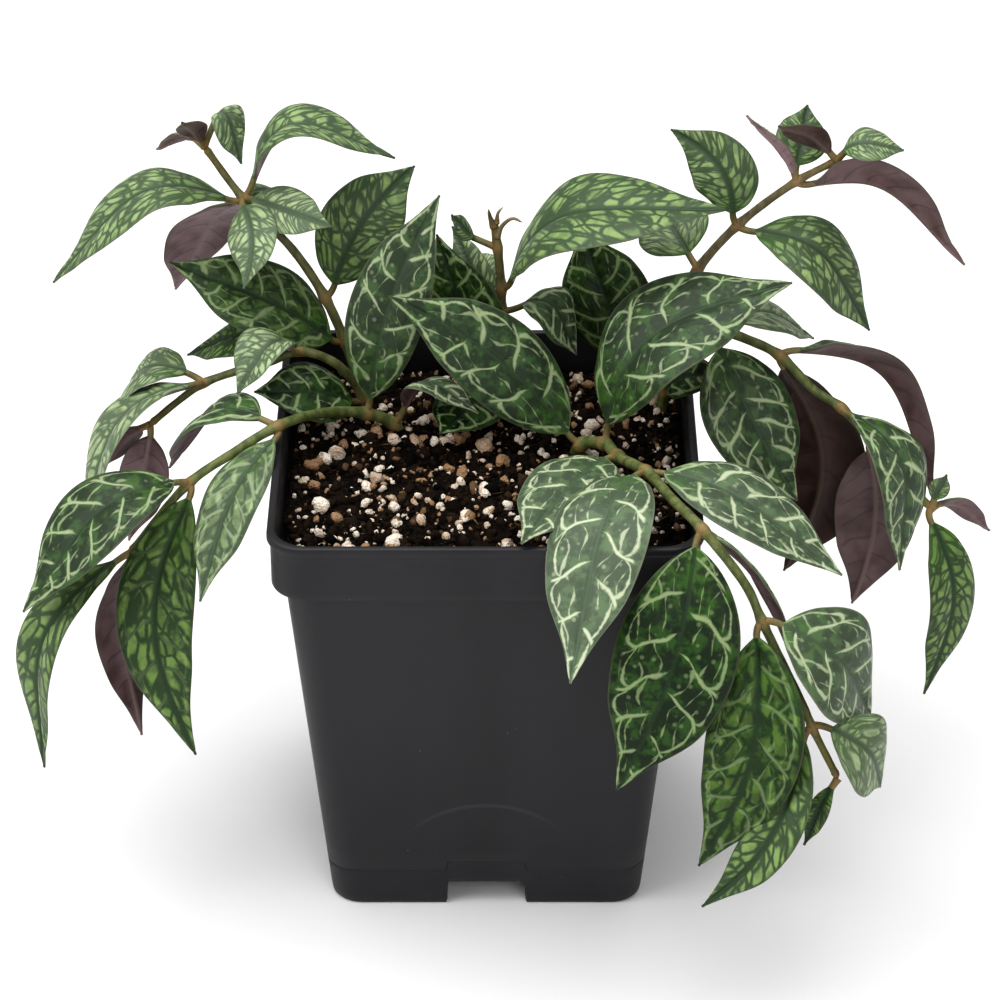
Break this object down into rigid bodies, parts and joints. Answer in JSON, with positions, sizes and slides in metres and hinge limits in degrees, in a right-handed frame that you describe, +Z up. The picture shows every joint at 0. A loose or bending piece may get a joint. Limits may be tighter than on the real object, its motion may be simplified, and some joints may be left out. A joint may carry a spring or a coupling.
{
  "type": "potted plant",
  "caption": "Trailing lipstick plant with mottled fleshy leaves on arching stems, rooted in soil in a square nursery pot.",
  "frame": {"origin": "middle of the footprint of the whole plant's box, at the level the pot stands on", "axes": "+Z up, -Y towards the front, +X to the right seen from the front"},
  "size_m": [0.2568, 0.157, 0.2002],
  "materials": {
    "pot": "satin moulded polypropylene",
    "soil": "loose peat and bark with perlite",
    "stem": "green to tan living stem",
    "leaf": "waxy variegated leaf"
  },
  "bodies": {
    "root": {"pot": "pot", "soil": "soil", "stem_upper_left": "stem", "leaf_upper_left_1": "leaf", "leaf_upper_left_2": "leaf", "leaf_upper_left_3": "leaf", "leaf_upper_left_4": "leaf", "leaf_upper_left_5": "leaf", "leaf_upper_left_6": "leaf", "leaf_upper_left_7": "leaf", "stem_left": "stem", "leaf_left_1": "leaf", "leaf_left_2": "leaf", "leaf_left_3": "leaf", "leaf_left_4": "leaf", "leaf_left_5": "leaf", "stem_front_left": "stem", "leaf_front_left_1": "leaf", "leaf_front_left_2": "leaf", "leaf_front_left_3": "leaf", "leaf_front_left_4": "leaf", "leaf_front_left_5": "leaf", "leaf_front_left_6": "leaf", "leaf_front_left_7": "leaf", "leaf_front_left_8": "leaf", "stem_middle": "stem", "leaf_middle_1": "leaf", "leaf_middle_2": "leaf", "leaf_middle_3": "leaf", "leaf_middle_4": "leaf", "stem_upper_right": "stem", "leaf_upper_right_1": "leaf", "leaf_upper_right_2": "leaf", "leaf_upper_right_3": "leaf", "leaf_upper_right_4": "leaf", "leaf_upper_right_5": "leaf", "leaf_upper_right_6": "leaf", "stem_right": "stem", "leaf_right_1": "leaf", "leaf_right_2": "leaf", "leaf_right_3": "leaf", "leaf_right_4": "leaf", "leaf_right_5": "leaf", "leaf_right_6": "leaf", "leaf_right_7": "leaf", "leaf_right_8": "leaf", "stem_front_right": "stem", "leaf_front_right_1": "leaf", "leaf_front_right_2": "leaf", "leaf_front_right_3": "leaf", "leaf_front_right_4": "leaf", "leaf_front_right_5": "leaf", "leaf_front_right_6": "leaf", "leaf_front_right_7": "leaf", "leaf_front_right_8": "leaf", "leaf_front_right_9": "leaf", "leaf_front_right_10": "leaf", "leaf_front_right_11": "leaf"}
  },
  "joints": []
}
